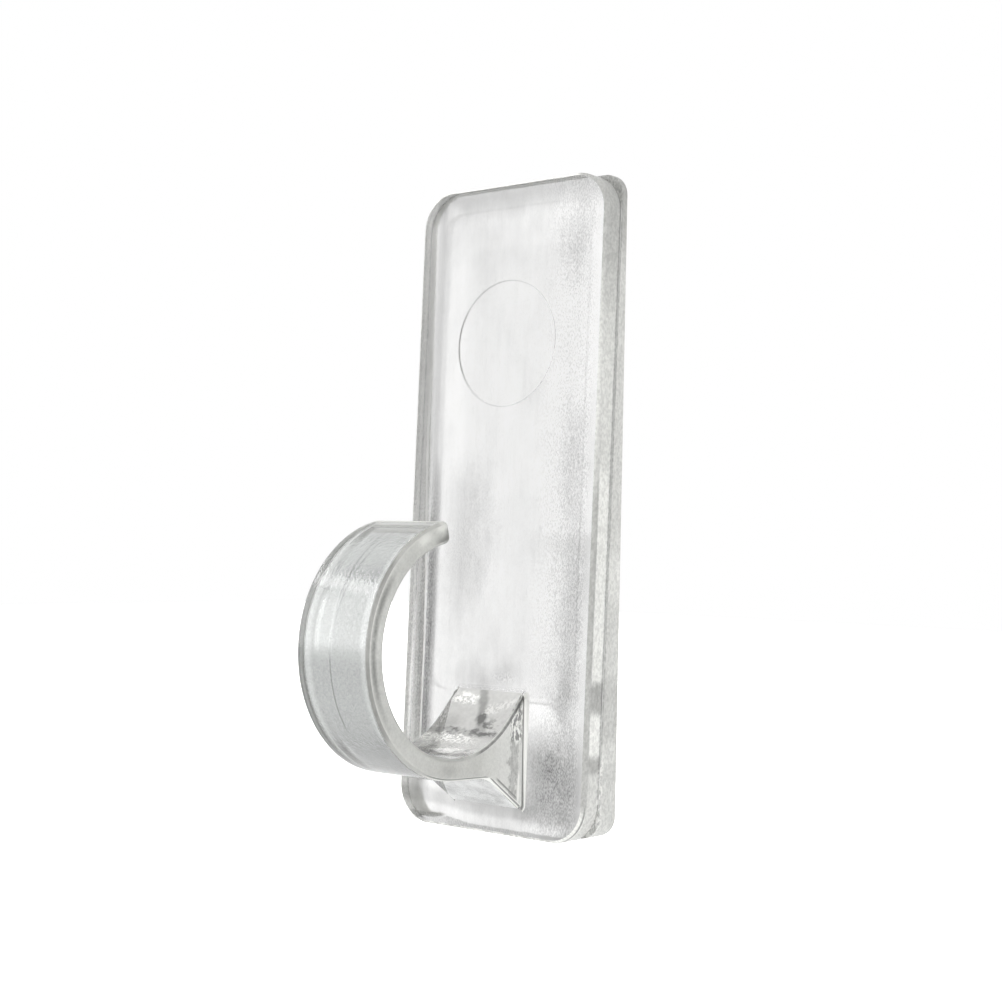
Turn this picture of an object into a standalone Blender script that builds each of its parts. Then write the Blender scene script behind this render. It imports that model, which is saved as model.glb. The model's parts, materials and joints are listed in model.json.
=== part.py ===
# Clear adhesive hook in two mouldings: a front plate with a C-shaped hook, which slides down on to a
# wedge-shaped base plate, and a stretch-release strip that bonds the base plate to the wall.
# The wall is the plane y = 0, the front faces -Y, Z is up, and the origin is at the plate's mid-height.
# Lengths are in metres, angles in degrees.

import bmesh
import bpy
from math import ceil, cos, hypot, radians, sin, tan
from mathutils import Vector

# Front plate
PLATE_WIDTH = 0.025
PLATE_HEIGHT = 0.0676
PLATE_THICKNESS = 0.00226
PLATE_CORNER = 0.004
PLATE_EDGE = 0.0004
PLATE_LEAN = 1.76

# Hook strip, a C whose mouth faces the upper part of the plate
HOOK_WIDTH = 0.0096
HOOK_THICKNESS = 0.0022
HOOK_INNER_RADIUS = 0.0105
HOOK_STANDOFF = 0.0104
HOOK_RISE = 0.019
HOOK_TIP_ANGLE = 74.0
HOOK_EDGE = 0.00045

# Flared root, where the strip grows out of the plate
ROOT_TANGENT_ANGLE = 48.0
FLARE_REACH = 0.0053
FLARE_ANGLE = 33.5
FLARE_BLEND = 0.004

# Round recess that the thumb presses while the strip takes hold
THUMB_RADIUS = 0.0066
THUMB_DEPTH = 0.00015
THUMB_DROP = 0.0169

# Base plate
BASE_TOP_THICKNESS = 0.00102
BASE_CORNER = 0.0022
BASE_STEP = 0.0005
BASE_EDGE = 0.0003

# Sliding joint between the two mouldings
SLIDE_CLEARANCE = 0.0003
RAIL_FOOT = 0.0023
TONGUE_HEIGHT = 0.00095
TONGUE_UNDERCUT = 0.0006
TONGUE_CORNER = 0.002
TONGUE_TOP_MARGIN = 0.0036

# Opening at the lower end of the base plate, through which the pull tab is reached
NOTCH_SIDE = 0.0039
NOTCH_HEIGHT = 0.013
NOTCH_CORNER = 0.003
NOTCH_MARGIN = 0.0008

# Stretch-release strip
STRIP_WIDTH = 0.016
STRIP_LENGTH = 0.047
STRIP_CORNER = 0.0012
FILM_THICKNESS = 0.0005
TAB_LENGTH = 0.0128
TAB_CORNER = 0.004
ADHESIVE_THICKNESS = 0.0002
ADHESIVE_INSET = 0.0003
LINER_THICKNESS = 0.00015
LINER_BORDER = 0.0005
LINER_LIFT = 0.002
BOND_GAP = 0.0001

# Smoothness of the curves
ARC_STEP = 3.0
CORNER_STEPS = 12
EDGE_STEPS = 3
THUMB_STEPS = 72
CUT_PAST = 0.002
ROOT_SINK = 0.001

# Layers from the wall outwards, as distances in front of the wall
LINER_FRONT = LINER_THICKNESS
WALL_ADHESIVE_BACK = LINER_FRONT + BOND_GAP
WALL_ADHESIVE_FRONT = WALL_ADHESIVE_BACK + ADHESIVE_THICKNESS
FILM_BACK = WALL_ADHESIVE_FRONT + BOND_GAP
FILM_FRONT = FILM_BACK + FILM_THICKNESS
BASE_ADHESIVE_BACK = FILM_FRONT + BOND_GAP
BASE_ADHESIVE_FRONT = BASE_ADHESIVE_BACK + ADHESIVE_THICKNESS
BASE_BACK = BASE_ADHESIVE_FRONT + BOND_GAP

# Heights
TOP = PLATE_HEIGHT / 2
BOTTOM = -PLATE_HEIGHT / 2
BASE_BOTTOM = BOTTOM + BASE_STEP
NOTCH_TOP = BASE_BOTTOM + NOTCH_HEIGHT
STRIP_BOTTOM = NOTCH_TOP + NOTCH_MARGIN
STRIP_TOP = STRIP_BOTTOM + STRIP_LENGTH

# The sliding plane is the front of the base plate. It leans with the front plate.
LEAN = radians(PLATE_LEAN)
SLIDE_ORIGIN = Vector((0, -(BASE_BACK + BASE_TOP_THICKNESS + TOP * tan(LEAN)), 0))

# Places in the sliding plane's own frame, where y = 0 is that plane and -y is outwards
PLATE_BACK = -SLIDE_CLEARANCE
PLATE_FACE = PLATE_BACK - PLATE_THICKNESS
TONGUE_SLOPE = TONGUE_UNDERCUT / TONGUE_HEIGHT
FLANK_CLEARANCE = SLIDE_CLEARANCE * hypot(1, TONGUE_SLOPE)
TONGUE_HEAD = PLATE_WIDTH / 2 - RAIL_FOOT - FLANK_CLEARANCE
TONGUE_NECK = TONGUE_HEAD - TONGUE_UNDERCUT
TONGUE_TOP = TOP - TONGUE_TOP_MARGIN
TONGUE_BOTTOM = NOTCH_TOP + NOTCH_MARGIN


def remove_everything():
    for item in list(bpy.data.objects):
        bpy.data.objects.remove(item, do_unlink=True)


def plastic(name, colour, roughness, transmission, ior):
    material = bpy.data.materials.new(name)
    material.use_nodes = True
    shader = material.node_tree.nodes["Principled BSDF"]
    shader.inputs["Base Color"].default_value = (*colour, 1.0)
    shader.inputs["Roughness"].default_value = roughness
    shader.inputs["Metallic"].default_value = 0.0
    shader.inputs["Transmission Weight"].default_value = transmission
    shader.inputs["IOR"].default_value = ior
    material.diffuse_color = (*colour, 1.0)
    return material


def finish(name, shape, material, sharp=30.0):
    bmesh.ops.recalc_face_normals(shape, faces=shape.faces)
    mesh = bpy.data.meshes.new(name)
    shape.to_mesh(mesh)
    shape.free()
    mesh.shade_smooth()
    mesh.set_sharp_from_angle(angle=radians(sharp))
    piece = bpy.data.objects.new(name, mesh)
    bpy.context.scene.collection.objects.link(piece)
    if material is not None:
        mesh.materials.append(material)
    return piece


def as_guide(piece):
    piece.hide_render = True
    piece.display_type = "WIRE"
    return piece


def combine(piece, operation, other):
    modifier = piece.modifiers.new(operation.title() + " " + other.name, "BOOLEAN")
    modifier.operation = operation
    modifier.solver = "EXACT"
    modifier.object = other


def arc(centre, radius, start, end, step=ARC_STEP):
    """Points of an arc, from the start angle to the end angle, both in degrees and included."""
    count = max(2, ceil(abs(end - start) / step))
    angles = [radians(start + (end - start) * i / count) for i in range(count + 1)]
    return [(centre[0] + radius * cos(a), centre[1] + radius * sin(a)) for a in angles]


def rounded_rectangle(left, right, low, high, corner, steps=CORNER_STEPS, low_corner=None):
    """Outline in x and z. The two lower corners can have a radius of their own."""
    foot = corner if low_corner is None else low_corner
    turn = 90 / steps
    points = arc((right - corner, high - corner), corner, 0, 90, turn)
    points += arc((left + corner, high - corner), corner, 90, 180, turn)
    points += arc((left + foot, low + foot), foot, 180, 270, turn)
    points += arc((right - foot, low + foot), foot, 270, 360, turn)
    return points


def prism(outline, start, end, axis):
    """Solid between two parallel planes. An outline in x and z runs along y, one in y and z along x."""
    shape = bmesh.new()
    if axis == "y":
        corners = [shape.verts.new((x, start, z)) for x, z in outline]
        travel = Vector((0, end - start, 0))
    else:
        corners = [shape.verts.new((start, y, z)) for y, z in outline]
        travel = Vector((end - start, 0, 0))
    face = shape.faces.new(corners)
    grown = bmesh.ops.extrude_face_region(shape, geom=[face])["geom"]
    moved = [item for item in grown if isinstance(item, bmesh.types.BMVert)]
    bmesh.ops.translate(shape, verts=moved, vec=travel)
    bmesh.ops.recalc_face_normals(shape, faces=shape.faces)
    return shape


def rim_edges(shape, axis, place):
    """Edges that lie in the plane at this place on the axis."""
    index = "xyz".index(axis)
    return [edge for edge in shape.edges if all(abs(v.co[index] - place) < 1e-7 for v in edge.verts)]


def round_edges(shape, edges, radius):
    bmesh.ops.bevel(shape, geom=edges, offset=radius, segments=EDGE_STEPS, profile=0.5,
                    affect="EDGES", material=-1)


def hook_outline():
    """Side view of the hook strip and its root, in y and z of the sliding plane's frame."""
    centre = (PLATE_FACE - HOOK_STANDOFF, BOTTOM + HOOK_RISE)
    outer_radius = HOOK_INNER_RADIUS + HOOK_THICKNESS
    sunk = PLATE_FACE + ROOT_SINK

    # Angles count from +y, so the plate's side is 0, the top 90 and the nose 180
    tip = 180 - HOOK_TIP_ANGLE
    root = 270 + ROOT_TANGENT_ANGLE
    inner = arc(centre, HOOK_INNER_RADIUS, root, tip)
    mid_radius = HOOK_INNER_RADIUS + HOOK_THICKNESS / 2
    tip_centre = (centre[0] + mid_radius * cos(radians(tip)), centre[1] + mid_radius * sin(radians(tip)))
    end_cap = arc(tip_centre, HOOK_THICKNESS / 2, tip - 180, tip, 18)[1:-1]
    outer = arc(centre, outer_radius, tip, 270)

    # The upper side leaves the inner circle on its tangent and runs into the plate
    leave = Vector(inner[0])
    heading = Vector((-sin(radians(root)), cos(radians(root))))
    upper_end = leave + heading * ((sunk - leave.x) / heading.x)

    # The underside runs level and then flares down, with a blend between the two
    level = centre[1] - outer_radius
    knee = Vector((PLATE_FACE - FLARE_REACH, level))
    slope = radians(FLARE_ANGLE)
    setback = FLARE_BLEND * tan(slope / 2)
    blend_centre = (knee.x - setback, level - FLARE_BLEND)
    blend = arc(blend_centre, FLARE_BLEND, 90, 90 - FLARE_ANGLE, 6)
    lower_end = (sunk, knee.y - (sunk - knee.x) * tan(slope))

    return [tuple(upper_end)] + inner + end_cap + outer + blend + [lower_end]


def dovetail(flank, height, low, high, corner, sink):
    """Rail with undercut flanks. The flank is its half width where it meets the sliding plane."""
    deep = flank - TONGUE_SLOPE * sink
    outline = rounded_rectangle(-deep, deep, low, high, corner, low_corner=corner / 8)
    shape = prism(outline, sink, -height, "y")
    for vertex in shape.verts:
        if vertex.co.y < 0:
            spread = TONGUE_SLOPE * (height + sink)
            vertex.co.x += spread if vertex.co.x > 0 else -spread
    return shape


def put_on_slide(piece, carrier):
    piece.parent = carrier
    return piece


def make_slide_frame():
    carrier = bpy.data.objects.new("slide_frame", None)
    bpy.context.scene.collection.objects.link(carrier)
    carrier.location = SLIDE_ORIGIN
    carrier.rotation_euler = (-LEAN, 0, 0)
    return carrier


def make_hook_body(carrier):
    clear = plastic("clear_plastic", (0.90, 0.92, 0.92), 0.10, 1.0, 1.49)
    half = PLATE_WIDTH / 2
    outline = rounded_rectangle(-half, half, BOTTOM, TOP, PLATE_CORNER)
    plate = prism(outline, PLATE_BACK, PLATE_FACE, "y")
    round_edges(plate, rim_edges(plate, "y", PLATE_FACE), PLATE_EDGE)
    body = put_on_slide(finish("hook_body", plate, clear), carrier)

    strip = prism(hook_outline(), -HOOK_WIDTH / 2, HOOK_WIDTH / 2, "x")
    sides = rim_edges(strip, "x", -HOOK_WIDTH / 2) + rim_edges(strip, "x", HOOK_WIDTH / 2)
    round_edges(strip, sides, HOOK_EDGE)
    combine(body, "UNION", as_guide(put_on_slide(finish("hook_strip_shape", strip, None), carrier)))

    depth = TONGUE_HEIGHT + SLIDE_CLEARANCE
    flank = TONGUE_NECK + FLANK_CLEARANCE
    groove = dovetail(flank, depth, BOTTOM - CUT_PAST, TONGUE_TOP + SLIDE_CLEARANCE,
                      TONGUE_CORNER + SLIDE_CLEARANCE, CUT_PAST)
    combine(body, "DIFFERENCE", as_guide(put_on_slide(finish("groove_shape", groove, None), carrier)))

    turn = 360 / THUMB_STEPS
    disc = arc((0, TOP - THUMB_DROP), THUMB_RADIUS, 0, 360 - turn, turn)
    recess = prism(disc, PLATE_FACE + THUMB_DEPTH, PLATE_FACE - CUT_PAST, "y")
    combine(body, "DIFFERENCE", as_guide(put_on_slide(finish("thumb_shape", recess, None), carrier)))
    return body


def make_base_plate(carrier):
    clear = plastic("clear_plastic_base", (0.88, 0.90, 0.89), 0.12, 1.0, 1.49)
    half = PLATE_WIDTH / 2
    outline = rounded_rectangle(-half, half, BASE_BOTTOM, TOP, BASE_CORNER)
    slab = prism(outline, -BASE_BACK, -BASE_BACK - BASE_TOP_THICKNESS, "y")
    front = [v for v in slab.verts if v.co.y < -BASE_BACK - BASE_TOP_THICKNESS / 2]
    for vertex in front:
        vertex.co.y -= (TOP - vertex.co.z) * tan(LEAN)
    round_edges(slab, rim_edges(slab, "y", -BASE_BACK), BASE_EDGE)
    base = finish("base_plate", slab, clear)

    tongue = dovetail(TONGUE_NECK, TONGUE_HEIGHT, TONGUE_BOTTOM, TONGUE_TOP, TONGUE_CORNER,
                      BASE_TOP_THICKNESS / 2)
    combine(base, "UNION", as_guide(put_on_slide(finish("tongue_shape", tongue, None), carrier)))

    side = PLATE_WIDTH / 2 - NOTCH_SIDE
    opening = rounded_rectangle(-side, side, BASE_BOTTOM - CUT_PAST - NOTCH_CORNER, NOTCH_TOP, NOTCH_CORNER)
    notch = prism(opening, CUT_PAST, SLIDE_ORIGIN.y + BOTTOM * tan(LEAN) - CUT_PAST, "y")
    combine(base, "DIFFERENCE", as_guide(finish("notch_shape", notch, None)))
    return base


def make_strip():
    half = STRIP_WIDTH / 2
    film = plastic("film", (0.93, 0.94, 0.93), 0.25, 0.9, 1.49)
    outline = rounded_rectangle(-half, half, STRIP_BOTTOM - TAB_LENGTH, STRIP_TOP, STRIP_CORNER,
                                low_corner=TAB_CORNER)
    finish("strip_core", prism(outline, -FILM_BACK, -FILM_FRONT, "y"), film)

    side = half - ADHESIVE_INSET
    layer = rounded_rectangle(-side, side, STRIP_BOTTOM + ADHESIVE_INSET, STRIP_TOP - ADHESIVE_INSET,
                              STRIP_CORNER)
    for name, back, front in (("base_adhesive", BASE_ADHESIVE_BACK, BASE_ADHESIVE_FRONT),
                              ("wall_adhesive", WALL_ADHESIVE_BACK, WALL_ADHESIVE_FRONT)):
        gum = plastic(name + "_gum", (0.94, 0.94, 0.92), 0.18, 0.9, 1.47)
        finish(name, prism(layer, -back, -front, "y"), gum)

    backing = plastic("liner", (0.90, 0.91, 0.92), 0.35, 0.3, 1.55)
    edge = half + LINER_BORDER
    sheet = rounded_rectangle(-edge, edge, STRIP_BOTTOM - LINER_BORDER, STRIP_TOP + LINER_LIFT,
                              STRIP_CORNER + LINER_BORDER)
    finish("release_liner", prism(sheet, 0, -LINER_FRONT, "y"), backing)


remove_everything()
slide_frame = make_slide_frame()
make_hook_body(slide_frame)
make_base_plate(slide_frame)
make_strip()
bpy.context.view_layer.update()
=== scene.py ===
# Clear adhesive hook: the looks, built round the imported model
import json
from math import atan2, cos, pi, radians, sin, tan

import bmesh
import bpy
from mathutils import Matrix, Vector


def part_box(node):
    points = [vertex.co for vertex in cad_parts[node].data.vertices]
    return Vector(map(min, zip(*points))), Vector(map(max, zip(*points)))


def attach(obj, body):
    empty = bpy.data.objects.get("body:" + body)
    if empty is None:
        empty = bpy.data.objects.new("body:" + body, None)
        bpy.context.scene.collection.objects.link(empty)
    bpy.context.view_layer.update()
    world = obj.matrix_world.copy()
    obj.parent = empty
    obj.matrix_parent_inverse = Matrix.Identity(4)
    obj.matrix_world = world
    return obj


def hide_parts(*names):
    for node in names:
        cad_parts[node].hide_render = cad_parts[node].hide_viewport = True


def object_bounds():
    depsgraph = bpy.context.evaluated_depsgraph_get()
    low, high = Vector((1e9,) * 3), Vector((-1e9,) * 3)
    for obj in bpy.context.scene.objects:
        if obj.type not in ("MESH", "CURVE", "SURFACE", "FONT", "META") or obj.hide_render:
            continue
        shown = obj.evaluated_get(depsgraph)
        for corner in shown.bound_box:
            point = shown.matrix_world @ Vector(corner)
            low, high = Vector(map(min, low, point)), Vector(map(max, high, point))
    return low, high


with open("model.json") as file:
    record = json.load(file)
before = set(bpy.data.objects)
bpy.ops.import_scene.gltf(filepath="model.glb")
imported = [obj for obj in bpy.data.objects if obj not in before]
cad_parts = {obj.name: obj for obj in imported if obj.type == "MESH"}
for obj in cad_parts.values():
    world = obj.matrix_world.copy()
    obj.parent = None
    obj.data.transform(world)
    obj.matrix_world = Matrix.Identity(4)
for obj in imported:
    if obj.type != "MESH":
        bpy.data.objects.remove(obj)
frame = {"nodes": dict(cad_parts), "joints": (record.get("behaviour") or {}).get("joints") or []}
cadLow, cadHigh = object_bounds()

print("frame loaded")

mm = 0.001
tiny = 0.000001
# a normal whose share along an axis is above this faces along it
headOn = 0.95


# Camera, from the photograph's perspective. Focal length and frame are in pixels, spot in metres.
camera = {"focal": 1744, "frame": 1002, "yaw": 40.74, "pitch": 1.402, "roll": 1.237,
          "spot": (0.11814, -0.14292, -0.00397), "sensor": 36, "nearest": 0.01}


def makeCamera():
    data = bpy.data.cameras.new("camera")
    data.sensor_width = camera["sensor"]
    data.lens = camera["sensor"] * camera["focal"] / camera["frame"]
    data.clip_start = camera["nearest"]
    eye = bpy.data.objects.new("camera", data)
    bpy.context.scene.collection.objects.link(eye)
    yaw, pitch, roll = (radians(camera[turn]) for turn in ("yaw", "pitch", "roll"))
    ahead = Vector((-sin(yaw) * cos(pitch), cos(yaw) * cos(pitch), sin(pitch)))
    right = Vector((cos(yaw), sin(yaw), 0))
    up = right.cross(ahead)
    right, up = right * cos(roll) + up * sin(roll), up * cos(roll) - right * sin(roll)
    facing = Matrix((right, up, -ahead)).transposed().to_4x4()
    eye.matrix_world = Matrix.Translation(camera["spot"]) @ facing
    bpy.context.scene.camera = eye


# Node maths: a wire is a socket that can be added, multiplied and so on in plain Python
class Wire:
    def __init__(self, maker, socket):
        self.maker = maker
        self.socket = socket

    def maths(self, operation, first, second=None):
        return self.maker.node("ShaderNodeMath", {"operation": operation}, {0: first, 1: second})

    def __add__(self, other):
        return self.maths("ADD", self, other)

    def __radd__(self, other):
        return self.maths("ADD", other, self)

    def __sub__(self, other):
        return self.maths("SUBTRACT", self, other)

    def __rsub__(self, other):
        return self.maths("SUBTRACT", other, self)

    def __mul__(self, other):
        return self.maths("MULTIPLY", self, other)

    def __rmul__(self, other):
        return self.maths("MULTIPLY", other, self)

    def __truediv__(self, other):
        return self.maths("DIVIDE", self, other)

    def __pow__(self, other):
        return self.maths("POWER", self, other)

    def __neg__(self):
        return self.maths("MULTIPLY", self, -1)

    def __abs__(self):
        return self.maths("ABSOLUTE", self)


class Maker:
    def __init__(self, tree):
        self.tree = tree
        tree.nodes.clear()

    def node(self, kind, settings, sockets, output=0):
        made = self.tree.nodes.new(kind)
        for name, value in settings.items():
            setattr(made, name, value)
        for name, value in sockets.items():
            if isinstance(value, Wire):
                self.tree.links.new(value.socket, made.inputs[name])
            elif value is not None:
                made.inputs[name].default_value = value
        return Wire(self, made.outputs[output])

    def step(self, value, start, end):
        # 0 before start, 1 after end, eased in between
        return self.node("ShaderNodeMapRange", {"interpolation_type": "SMOOTHSTEP"},
                         {"Value": value, "From Min": start, "From Max": end})

    def mix(self, share, first, second):
        # colours
        return self.node("ShaderNodeMix", {"data_type": "RGBA"}, {0: share, 6: first, 7: second}, 2)

    def blend(self, share, first, second):
        # numbers
        return self.node("ShaderNodeMix", {"data_type": "FLOAT"}, {0: share, 2: first, 3: second})

    def blob(self, x, z, centre, radius):
        # 1 in the middle of a soft oval patch, 0 at its rim
        dx = (x - centre[0]) / radius[0]
        dz = (z - centre[1]) / radius[1]
        return self.step((dx * dx + dz * dz) ** 0.5, 1, 0)

    def band(self, value, low, high, soft):
        # 1 between low and high
        return self.step(value, low - soft, low + soft) * self.step(value, high + soft, high - soft)

    def line(self, value, centre, half):
        return self.step(abs(value - centre), half * 1.5, half * 0.4)

    def darken(self, tone, share, mask):
        return tone * (1 - share * mask)

    def clamp(self, tone, darkest):
        return self.node("ShaderNodeClamp", {}, {"Value": tone, "Min": darkest, "Max": 1.0})

    def shadeAndHighlightPatches(self, tone, x, z, lightAndShadeSpots):
        # soft patches of painted shade and painted highlight
        for cx, cz, wide, high, change in lightAndShadeSpots:
            tone = tone + self.blob(x, z, (cx, cz), (wide, high)) * change
        return tone

    def stripes(self, tone, across, along, lines):
        for place, half, slant, start, end, soft, change in lines:
            line = self.line(across + (along - start) * slant, place, half)
            tone = tone + line * self.band(along, start, end, soft) * change
        return tone

    def output(self, kind, shader):
        out = self.tree.nodes.new(kind)
        self.tree.links.new(shader.socket, out.inputs["Surface"])

    def grey(self, value):
        return self.node("ShaderNodeCombineColor", {}, {0: value, 1: value, 2: value})

    def tinted(self, value, tint):
        return self.mix(value, (0, 0, 0, 1), (*tint, 1))

    def drift(self, size, amount):
        # slow shifts in millimetres that keep painted borders from looking ruled
        shift = self.axes(self.noise((1, 1, 0.5), size, 2, 1))
        return [(part - 0.5) * amount for part in shift]

    def places(self, scale=(1, 1, 1)):
        # object coordinates, in millimetres and then scaled
        where = self.node("ShaderNodeTexCoord", {}, {}, "Object")
        return self.node("ShaderNodeMapping", {}, {"Vector": where, "Scale": tuple(1000 * s for s in scale)})

    def axes(self, vector):
        return [self.node("ShaderNodeSeparateXYZ", {}, {0: vector}, index) for index in range(3)]

    def noise(self, scale, size, detail=2, output=0, roughness=0.5):
        return self.node("ShaderNodeTexNoise", {}, {"Vector": self.places(scale), "Scale": size,
                                                    "Detail": detail, "Roughness": roughness}, output)

    def speckle(self, scale, size):
        # fine grain round 0, of nearly even strength
        return self.step(self.noise(scale, size, 2), 0.32, 0.68) - 0.5

    def bump(self, height, strength, distance):
        return self.node("ShaderNodeBump", {}, {"Strength": strength, "Distance": distance, "Height": height})


# Studio: white behind the object, dimmer at the sides and behind the camera, with a soft box on the camera's
# right, and a window with a light bar above it on the left. Tones are brightness, heights are the z of a unit
# direction, and pairs are where a soft border starts and ends.
studio = {"behind": 1.0, "left": 0.55, "right": 0.30, "front": 0.45, "ceiling": 0.90, "softBox": 1.05,
          "sideEdge": (-0.5, 0.5), "behindEdge": (0.30, 0.60), "frontEdge": (-0.3, -0.9),
          "ceilingEdge": (0.55, 0.8), "boxSide": (0.2, 0.5), "boxFront": (-0.05, -0.35),
          "windowLight": 2.3, "windowLow": (-0.09, 0.05), "windowHigh": (0.55, 0.51), "windowHalf": (46, 38),
          "barLight": 7.0, "barSlope": (0.765, 0.875), "barLeft": (0.2, 0.3), "barBack": (0.1, 0.0),
          "floorDrop": 0.12, "floorSize": 6.0, "floorTone": 0.72, "floorCloud": 0.02, "floorRough": 0.9,
          "floorGlow": 0.3, "bounces": 24}


def makeStudio():
    scene = bpy.context.scene
    world = bpy.data.worlds.new("studio")
    scene.world = world
    world.use_nodes = True
    m = Maker(world.node_tree)
    x, y, z = m.axes(m.node("ShaderNodeTexCoord", {}, {}, "Generated"))
    yaw = radians(camera["yaw"])
    flat = (x * x + y * y) ** 0.5 + 0.001
    along = (y * cos(yaw) - x * sin(yaw)) / flat
    across = (x * cos(yaw) + y * sin(yaw)) / flat
    tone = m.blend(m.step(across, *studio["sideEdge"]), studio["left"], studio["right"])
    tone = m.blend(m.step(along, *studio["behindEdge"]), tone, studio["behind"])
    tone = m.blend(m.step(along, *studio["frontEdge"]), tone, studio["front"])
    box = m.step(across, *studio["boxSide"]) * m.step(along, *studio["boxFront"])
    tone = tone + box * studio["softBox"]
    tone = m.blend(m.step(z, *studio["ceilingEdge"]), tone, studio["ceiling"])
    aside = (-across) * sin(2 * yaw) - along * cos(2 * yaw)
    window = m.step(aside, *(cos(radians(half)) for half in studio["windowHalf"]))
    window = window * m.step(z, *studio["windowLow"]) * m.step(z, *studio["windowHigh"])
    slope = z / m.node("ShaderNodeMath", {"operation": "MAXIMUM"}, {0: -x, 1: 0.05})
    bar = m.band(slope, *studio["barSlope"], 0.01)
    bar = bar * m.step(-x, *studio["barLeft"]) * m.step(y, *studio["barBack"])
    glow = tone + window * studio["windowLight"] + bar * studio["barLight"]
    seen = m.node("ShaderNodeLightPath", {}, {}, "Is Camera Ray")
    light = m.node("ShaderNodeBackground", {}, {"Color": (1, 1, 1, 1), "Strength": m.blend(seen, glow, 1)})
    m.output("ShaderNodeOutputWorld", light)
    scene.view_settings.view_transform = "Standard"
    scene.cycles.max_bounces = studio["bounces"]
    scene.cycles.transmission_bounces = studio["bounces"]
    print("studio lit")


def makeFloor():
    bm = bmesh.new()
    bmesh.ops.create_grid(bm, x_segments=1, y_segments=1, size=studio["floorSize"] / 2)
    bmesh.ops.translate(bm, vec=(0, 0, cadLow.z - studio["floorDrop"]), verts=bm.verts)
    floor = toObject("floor", bm)
    m = startFinish("floor")
    cloud = m.noise((0.02, 0.02, 0.02), 1.0)
    tone = studio["floorTone"] + cloud * studio["floorCloud"]
    seen = m.node("ShaderNodeLightPath", {}, {}, "Is Camera Ray")
    glow = m.blend(seen, studio["floorGlow"], 1)
    endFinish(m, {"Base Color": m.grey(tone), "Roughness": studio["floorRough"], "Transmission Weight": 0.0,
                  "Emission Color": m.grey(glow), "Emission Strength": 1.0})
    floor.data.materials.append(m.material)


# Materials
def startFinish(name):
    material = bpy.data.materials.new(name)
    material.use_nodes = True
    m = Maker(material.node_tree)
    m.material = material
    return m


def endFinish(m, sockets):
    shader = m.node("ShaderNodeBsdfPrincipled", {}, {"Transmission Weight": 1.0, "IOR": 1.49, **sockets})
    m.output("ShaderNodeOutputMaterial", shader)
    return m.material


clearTint = (1.0, 1.0, 0.985)
stripTint = (0.975, 1.0, 0.985)
edgeTint = (0.995, 1.0, 0.955)
rootTint = (1.0, 0.995, 0.94)

# Front of the plate. Places are x and z in millimetres, and pairs are where a soft border starts and ends.
# Patches of painted shade and painted highlight are x, z, half width, half height and change of tone.
skin = {"clear": 0.915, "rough": 0.09, "grain": 0.05, "ripple": 0.24, "coarse": 0.09, "cloud": 0.26,
        "brush": 0.10, "darkest": 0.12, "ringDark": 0.16, "ringHalf": 0.06,
        "shadeAndHighlightPatches": ((-3, 29, 13, 8, -0.08), (-8.3, 32, 1.8, 1.4, 0.16), (9.2, 26.5, 3.4, 6, -0.20),
                   (10, 4, 3.2, 9, -0.20), (-4.4, -3, 4.4, 12, -0.22), (10.4, -11, 3.6, 15, -0.27),
                   (-6, -14, 3, 10, -0.10), (1.0, -17.6, 5, 2.6, -0.14), (-2.8, -18.3, 3.6, 2.4, -0.12),
                   (9.2, -19, 2.6, 5, -0.20), (4, -25, 9, 5, -0.10), (8.8, -27.2, 7.2, 7.6, -0.57),
                   (-6.5, -29, 3.5, 2, 0.16), (-9.6, -29.2, 2.2, 1.8, -0.30), (5.5, -30.2, 5, 2.6, -0.16),
                   (-0.5, -30.6, 5, 2, -0.15), (10.6, -32.4, 2.4, 1.2, -0.18), (2, -33, 16, 6, -0.24)),
        "grainyLeft": (3.8, 8.5), "grainyRight": (11.9, 11.2), "calmTop": (-19, -25), "calmLeft": (1, 5),
        "busy": ((-3, -3), (6, 14)), "speckled": ((1.8, -17.7), (2.6, 0.9)),
        "calmShare": 0.02, "speckledShare": 0.3, "rootShadow": ((-1.2, -18.3), (1.2, 2.2)), "rootShadowDark": 0.10,
        "rampLine": (-19.1, -18.6, 0.15), "rampHalf": (5, 4.6), "rampDark": 0.15}

# The rail behind the plate shows through as dark and light lines along its left edge: painted shade and
# painted light, with a streaky grain.
leftEdgeLightAndShade = {"edge": -8.45, "soft": 0.75, "wander": (6, 16), "low": (-30, -24), "above": (-4, 8), "fade": 0.9,
           "tone": 0.72, "grain": 0.7, "ripple": 0.25, "outside": (-10.4, -10.85), "outsideLight": 0.3,
           "border": (-9.75, -9.5), "borderDark": 0.36, "highBand": (-10.25, -9.1, 0.45), "highDark": 0.26,
           "highSide": (-10.4, -11), "highSideDark": 0.05, "highRim": (-11.6, -12.1), "highRimDark": 0.12,
           "thin": -9.76, "thinHalf": 0.13, "thinLean": 0.74, "thinTop": (15, 10), "thinGlow": 0.09,
           "wide": (-11.65, -11.05), "wideTop": (-5, -15), "wideGlow": 0.24}

# Painted shade along the plate's top. Its foot has a painted dark band, a painted light line and a
# painted dark edge.
ends = {"top": (29.7, 32.9), "topDark": 0.33, "footLeft": (-1.5, -7), "footDrop": 0.5,
        "footBand": (-31.9, -30.4), "footDark": 0.16, "footLine": -32.4, "footLight": 0.10,
        "footEdge": (-32.9, -33.1), "edgeDark": 0.36, "edgeLeft": (-4, -7), "edgeLeftLight": 0.12}

# Faces between the mouldings
frost = {"rough": 0.30, "ior": 1.015, "grain": 0.03, "rim": 0.6, "rimEdge": (12.1, 12.35), "tongue": 0.04,
         "tongueSide": (-0.86, -0.09, 0.04), "rail": 0.26, "railEdge": (8.9, 9.3), "railSpan": (-16, 3, 3),
         "notch": 0.02}


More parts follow.
